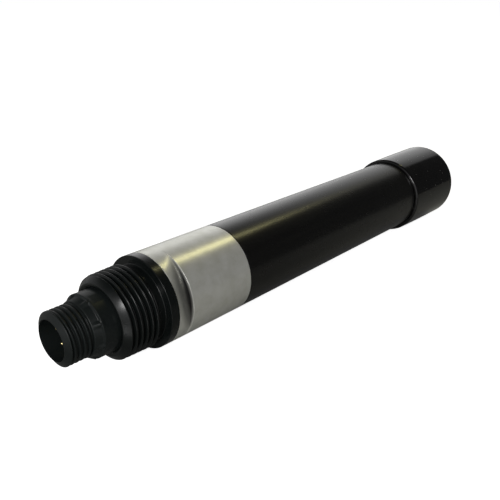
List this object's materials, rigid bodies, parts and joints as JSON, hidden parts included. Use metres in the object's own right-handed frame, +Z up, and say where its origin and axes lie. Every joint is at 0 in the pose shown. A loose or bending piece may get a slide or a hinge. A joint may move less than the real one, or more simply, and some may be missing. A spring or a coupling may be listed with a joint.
{
  "type": "water quality probe",
  "caption": "Cylindrical optical water quality probe with a threaded process fitting, a pin connector at one end and a slip-on protective cap at the other.",
  "frame": {"origin": "on the barrel's axis, at the flange face that seats on a pipe adapter", "axes": "+X along the barrel towards the sensing head, +Z up with the probe lying down"},
  "size_m": [0.2014, 0.0324, 0.0324],
  "materials": {
    "connector_plastic": "fine moulded texture",
    "fitting_plastic": "machined satin",
    "insulator": "moulded",
    "gold": "gold-plated",
    "seal_rubber": "smooth",
    "resin": "cast",
    "stainless": "fine turned satin",
    "tube_black": "satin black",
    "head_black": "machined satin",
    "cap_vinyl": "soft glossy",
    "window_glass": "polished",
    "led_epoxy": "clear tinted",
    "detector_epoxy": "dark tinted",
    "board_green": "solder mask",
    "chip_black": "moulded",
    "ferrite": "sintered",
    "can_aluminium": "drawn",
    "terminal_white": "moulded",
    "carrier_plastic": "moulded",
    "wire_red": "smooth insulation",
    "wire_yellow": "smooth insulation",
    "lead_wire": "tinned",
    "bead": "dipped"
  },
  "bodies": {
    "probe": {"connector_shell": "connector_plastic", "connector_insert": "insulator", "contact_pins": "gold", "connector_oring": "seal_rubber", "process_fitting": "fitting_plastic", "fitting_oring": "seal_rubber", "potting_plug": "resin", "steel_collar": "stainless", "collar_orings": "seal_rubber", "body_tube": "tube_black", "signal_wires": "wire_red", "wire_header": "terminal_white", "front_board_carrier": "carrier_plastic", "rear_board_carrier": "carrier_plastic", "main_board": "board_green", "transceiver_chip": "chip_black", "microcontroller": "chip_black", "power_inductor": "ferrite", "capacitors": "can_aluminium", "optics_header": "terminal_white", "optics_wires": "wire_yellow", "optics_board": "board_green", "optics_amplifier": "chip_black", "optics_leads": "lead_wire", "sensor_head": "head_black", "head_orings": "seal_rubber", "head_screws": "stainless", "emitter_led": "led_epoxy", "detector_photodiode": "detector_epoxy", "emitter_window": "window_glass", "detector_window": "window_glass", "window_seals": "seal_rubber", "thermistor_sheath": "stainless", "thermistor_bead": "bead"},
    "cap": {"protective_cap": "cap_vinyl"}
  },
  "joints": [
    {"name": "cap_pull", "type": "slide", "parent": "probe", "child": "cap", "axis": [1, 0, 0], "range_m": [0, 0.05]}
  ]
}
